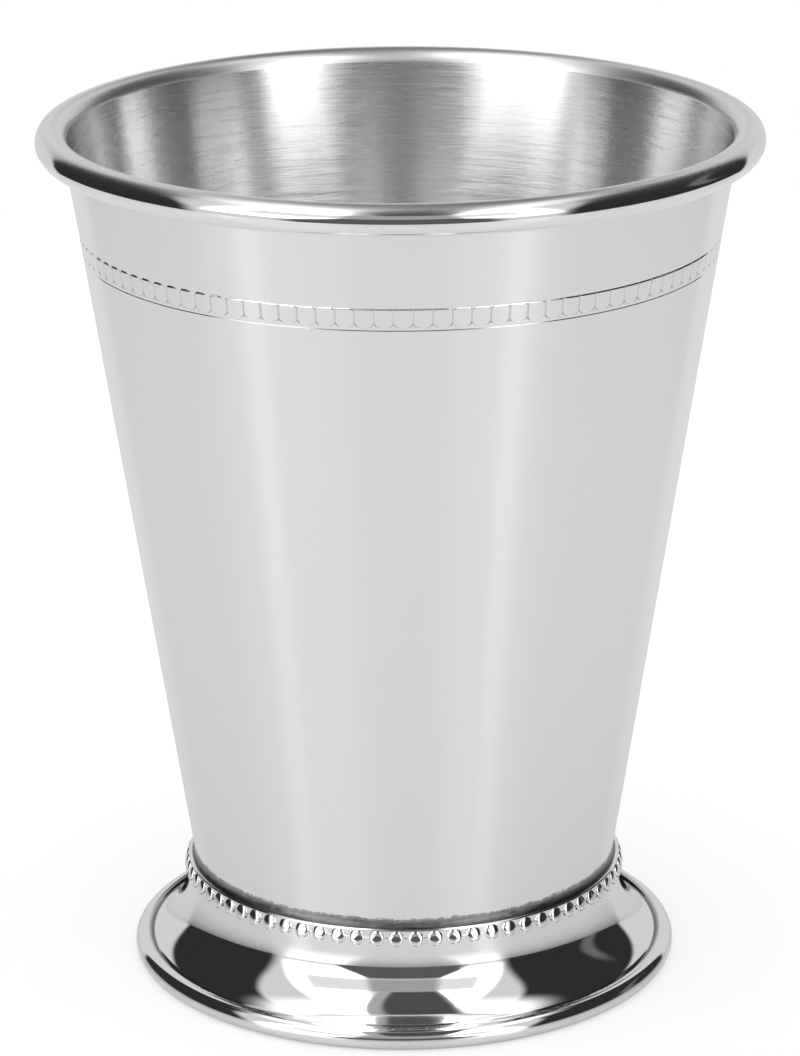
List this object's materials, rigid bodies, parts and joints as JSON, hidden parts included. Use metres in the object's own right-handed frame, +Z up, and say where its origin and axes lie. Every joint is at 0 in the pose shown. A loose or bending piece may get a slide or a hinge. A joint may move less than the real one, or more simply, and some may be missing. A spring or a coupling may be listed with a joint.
{
  "type": "julep cup",
  "caption": "Silver julep cup: tapered satin wall with a rolled rim and an engraved band, on a polished spun foot with a row of beads round its collar",
  "frame": {"origin": "centre of the circle the foot rests on, at table level", "axes": "+Z up along the cup's axis, -Y toward the side seen from the front, +X to the right"},
  "size_m": [0.09, 0.09, 0.1097],
  "materials": {
    "satin_silver": "silver with a fine satin lathe finish outside and round brushing inside",
    "brushed_silver": "silver brushed in rings",
    "polished_silver": "mirror-polished silver",
    "bead_silver": "polished silver beads",
    "collar_seam_solder": "dull grey solder, slightly rough",
    "floor_seam_solder": "dull grey solder"
  },
  "bodies": {
    "root": {"cup_wall": "satin_silver", "cup_floor": "brushed_silver", "foot_skirt": "polished_silver", "bead_wire": "bead_silver", "collar_solder": "collar_seam_solder", "floor_solder": "floor_seam_solder"}
  },
  "joints": []
}
